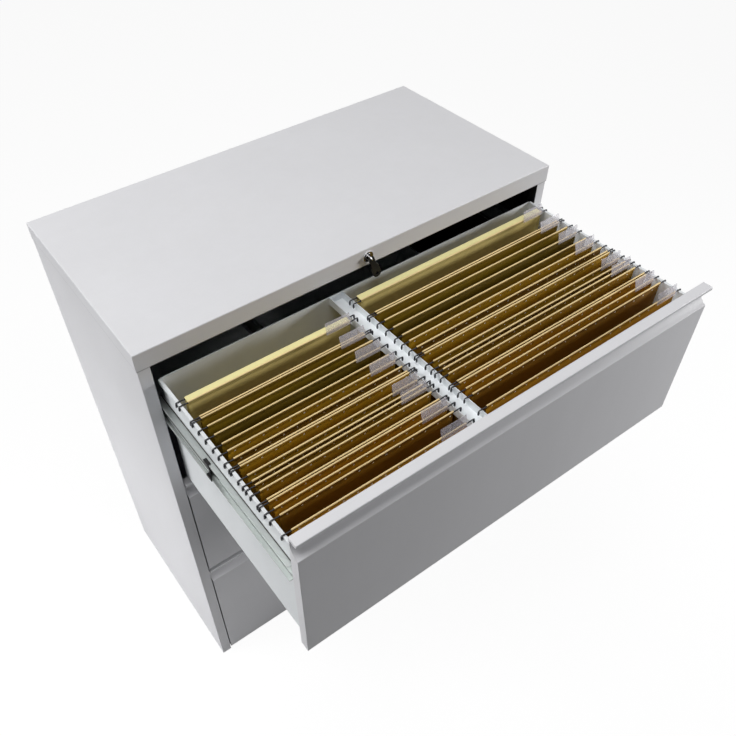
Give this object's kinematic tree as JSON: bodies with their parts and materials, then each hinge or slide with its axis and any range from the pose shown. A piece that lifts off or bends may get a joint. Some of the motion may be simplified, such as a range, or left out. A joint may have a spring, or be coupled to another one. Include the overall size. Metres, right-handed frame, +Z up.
{
  "type": "metal filing cabinet",
  "caption": "Wide lateral filing cabinet in folded painted steel with full-extension drawers, grooved finger pulls, a cam lock and hanging folders in the open top drawer.",
  "frame": {"origin": "on the floor under the middle of the cabinet's own footprint, the open drawer left out", "axes": "+X to the right seen from the front, +Y to the back, +Z up"},
  "size_m": [0.9, 0.857, 1.027],
  "materials": {
    "grey_paint": "fine powder coat",
    "zinc_steel": "bright zinc plate",
    "black_plastic": "moulded satin",
    "lock_chrome": "nickel plate",
    "foot_plastic": "moulded satin",
    "folder_card": "uncoated kraft card",
    "folder_rod": "black coating",
    "clear_plastic": "clear flexible sheet"
  },
  "bodies": {
    "cabinet": {"back_panel": "grey_paint", "base_pan": "grey_paint", "bottom_left_outer_slide": "zinc_steel", "bottom_right_outer_slide": "zinc_steel", "left_side_panel": "grey_paint", "levelling_feet": "foot_plastic", "lock_body": "lock_chrome", "lock_nut": "lock_chrome", "middle_left_outer_slide": "zinc_steel", "middle_right_outer_slide": "zinc_steel", "right_side_panel": "grey_paint", "shaft_bracket": "zinc_steel", "slide_uprights": "grey_paint", "top_left_outer_slide": "zinc_steel", "top_panel": "grey_paint", "top_right_outer_slide": "zinc_steel"},
    "top_drawer": {"top_front_liner": "grey_paint", "top_front_panel": "grey_paint", "top_hanging_rail": "grey_paint", "top_left_inner_slide": "zinc_steel", "top_right_inner_slide": "zinc_steel", "top_tray": "grey_paint", "top_tray_back": "grey_paint"},
    "top_middle_slides": {"top_left_middle_slide": "zinc_steel", "top_right_middle_slide": "zinc_steel"},
    "top_left_lever": {"top_left_release_lever": "black_plastic"},
    "top_right_lever": {"top_right_release_lever": "black_plastic"},
    "middle_drawer": {"middle_front_liner": "grey_paint", "middle_front_panel": "grey_paint", "middle_hanging_rail": "grey_paint", "middle_left_inner_slide": "zinc_steel", "middle_right_inner_slide": "zinc_steel", "middle_tray": "grey_paint", "middle_tray_back": "grey_paint"},
    "middle_middle_slides": {"middle_left_middle_slide": "zinc_steel", "middle_right_middle_slide": "zinc_steel"},
    "middle_left_lever": {"middle_left_release_lever": "black_plastic"},
    "middle_right_lever": {"middle_right_release_lever": "black_plastic"},
    "bottom_drawer": {"bottom_front_liner": "grey_paint", "bottom_front_panel": "grey_paint", "bottom_hanging_rail": "grey_paint", "bottom_left_inner_slide": "zinc_steel", "bottom_right_inner_slide": "zinc_steel", "bottom_tray": "grey_paint", "bottom_tray_back": "grey_paint"},
    "bottom_middle_slides": {"bottom_left_middle_slide": "zinc_steel", "bottom_right_middle_slide": "zinc_steel"},
    "bottom_left_lever": {"bottom_left_release_lever": "black_plastic"},
    "bottom_right_lever": {"bottom_right_release_lever": "black_plastic"},
    "lock": {"lock_plug": "lock_chrome", "key_blade": "lock_chrome", "lock_shaft": "zinc_steel"},
    "key_bow": {"key_bow": "black_plastic"},
    "lock_bar": {"lock_bar": "zinc_steel"},
    "narrow_files": {"narrow_folder_cards": "folder_card", "narrow_folder_rods": "folder_rod", "narrow_folder_tabs": "clear_plastic"},
    "wide_files": {"wide_folder_cards": "folder_card", "wide_folder_rods": "folder_rod", "wide_folder_tabs": "clear_plastic"}
  },
  "joints": [
    {"name": "top_drawer_slide", "type": "slide", "parent": "cabinet", "child": "top_drawer", "axis": [0, -1, 0], "range_m": [-0.406, 0]},
    {"name": "top_middle_slide", "type": "slide", "parent": "cabinet", "child": "top_middle_slides", "axis": [0, -1, 0], "range_m": [-0.203, 0]},
    {"name": "top_left_lever_press", "type": "hinge", "parent": "top_drawer", "child": "top_left_lever", "pos_m": [-0.415, -0.367, 0.8784], "axis": [1, 0, 0], "range_deg": [-12, 12], "stiffness_Nm_per_rad": 0.05},
    {"name": "top_right_lever_press", "type": "hinge", "parent": "top_drawer", "child": "top_right_lever", "pos_m": [0.415, -0.367, 0.8784], "axis": [1, 0, 0], "range_deg": [-12, 12], "stiffness_Nm_per_rad": 0.05},
    {"name": "middle_drawer_slide", "type": "slide", "parent": "cabinet", "child": "middle_drawer", "axis": [0, -1, 0], "range_m": [0, 0.406]},
    {"name": "middle_middle_slide", "type": "slide", "parent": "cabinet", "child": "middle_middle_slides", "axis": [0, -1, 0], "range_m": [0, 0.203]},
    {"name": "middle_left_lever_press", "type": "hinge", "parent": "middle_drawer", "child": "middle_left_lever", "pos_m": [-0.415, 0.039, 0.5674], "axis": [1, 0, 0], "range_deg": [-12, 12], "stiffness_Nm_per_rad": 0.05},
    {"name": "middle_right_lever_press", "type": "hinge", "parent": "middle_drawer", "child": "middle_right_lever", "pos_m": [0.415, 0.039, 0.5674], "axis": [1, 0, 0], "range_deg": [-12, 12], "stiffness_Nm_per_rad": 0.05},
    {"name": "bottom_drawer_slide", "type": "slide", "parent": "cabinet", "child": "bottom_drawer", "axis": [0, -1, 0], "range_m": [0, 0.406]},
    {"name": "bottom_middle_slide", "type": "slide", "parent": "cabinet", "child": "bottom_middle_slides", "axis": [0, -1, 0], "range_m": [0, 0.203]},
    {"name": "bottom_left_lever_press", "type": "hinge", "parent": "bottom_drawer", "child": "bottom_left_lever", "pos_m": [-0.415, 0.039, 0.2564], "axis": [1, 0, 0], "range_deg": [-12, 12], "stiffness_Nm_per_rad": 0.05},
    {"name": "bottom_right_lever_press", "type": "hinge", "parent": "bottom_drawer", "child": "bottom_right_lever", "pos_m": [0.415, 0.039, 0.2564], "axis": [1, 0, 0], "range_deg": [-12, 12], "stiffness_Nm_per_rad": 0.05},
    {"name": "key_turn", "type": "hinge", "parent": "cabinet", "child": "lock", "pos_m": [0, -0.226, 1.01], "axis": [0, 1, 0], "range_deg": [0, 90]},
    {"name": "lock_bar_drop", "type": "slide", "parent": "cabinet", "child": "lock_bar", "axis": [0, 0, -1], "range_m": [0, 0.01697]},
    {"name": "key_fold", "type": "hinge", "parent": "lock", "child": "key_bow", "pos_m": [0, -0.2356, 1.01], "axis": [-0.9397, 0, -0.342], "range_deg": [0, 90]},
    {"name": "narrow_files_shift", "type": "slide", "parent": "top_drawer", "child": "narrow_files", "axis": [0, 1, 0], "range_m": [-0.01, 0.05]},
    {"name": "wide_files_shift", "type": "slide", "parent": "top_drawer", "child": "wide_files", "axis": [0, 1, 0], "range_m": [-0.01, 0.02]}
  ],
  "couplings": [
    {"joint": "top_middle_slide", "follows": "top_drawer_slide", "ratio": 0.5},
    {"joint": "middle_middle_slide", "follows": "middle_drawer_slide", "ratio": 0.5},
    {"joint": "bottom_middle_slide", "follows": "bottom_drawer_slide", "ratio": 0.5},
    {"joint": "key_turn", "follows": "lock_bar_drop", "rad_per_m": 92.558}
  ]
}
